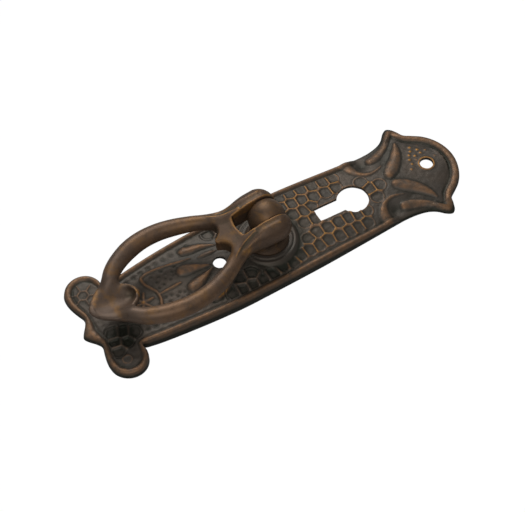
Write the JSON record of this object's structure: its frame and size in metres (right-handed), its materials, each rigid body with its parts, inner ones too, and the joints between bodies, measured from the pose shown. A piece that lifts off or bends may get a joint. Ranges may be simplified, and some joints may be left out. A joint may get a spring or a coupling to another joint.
{
  "type": "pedestal handle",
  "caption": "Long pressed back plate with a keyhole, honeycomb and leaf relief, and a pear-shaped ring handle that hinges on a ball-topped pedestal.",
  "frame": {"origin": "centre of the back plate's outline, on the face that lies against the furniture", "axes": "+Z out of the furniture, +Y up the door towards the domed end, +X to the right seen from the front"},
  "size_m": [0.0394, 0.1316, 0.0216],
  "materials": {
    "plate_metal": "pressed sheet brass, dark antique copper patina rubbed bright on the raised lines",
    "pedestal_metal": "turned brass, brown antique patina",
    "washer_metal": "plain brass washer, dull",
    "pin_metal": "steel pin, browned with the handle",
    "handle_metal": "cast brass, satin brown patina, coppery on the worn edges"
  },
  "bodies": {
    "base": {"back_plate": "plate_metal", "pedestal": "pedestal_metal", "rivet_washer": "washer_metal"},
    "handle": {"drop_handle": "handle_metal", "hinge_pin": "pin_metal"}
  },
  "joints": [
    {"name": "handle_hinge", "type": "hinge", "parent": "base", "child": "handle", "pos_m": [0, -0.0021, 0.0158], "axis": [-1, 0, 0], "range_deg": [0, 185]}
  ]
}
